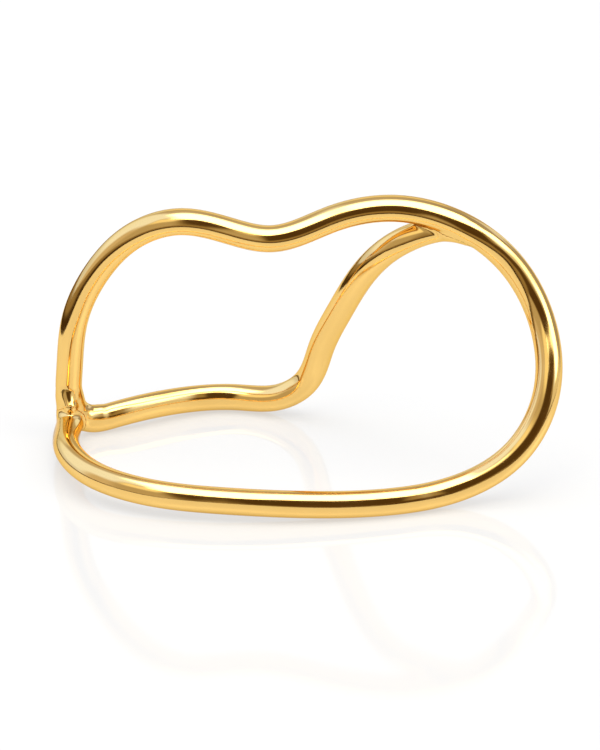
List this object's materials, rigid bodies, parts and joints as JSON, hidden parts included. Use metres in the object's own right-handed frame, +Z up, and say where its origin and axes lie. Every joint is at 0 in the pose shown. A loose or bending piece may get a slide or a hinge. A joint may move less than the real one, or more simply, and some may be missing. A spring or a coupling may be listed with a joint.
{
  "type": "two-finger ring",
  "caption": "Finger ring of one bent round wire, soldered to itself, whose wavy loop goes round two fingers side by side.",
  "frame": {"origin": "on the surface that the ring rests on, under the middle of its box", "axes": "+X across both fingers, from the larger space to the smaller; +Y along the fingers, away from the viewer in the picture; +Z up, from the palm side to the crown"},
  "size_m": [0.0414, 0.0229, 0.023],
  "materials": {
    "gold_tone_metal": "mirror-polished yellow gold plate"
  },
  "bodies": {
    "root": {"ring": "gold_tone_metal"}
  },
  "joints": []
}
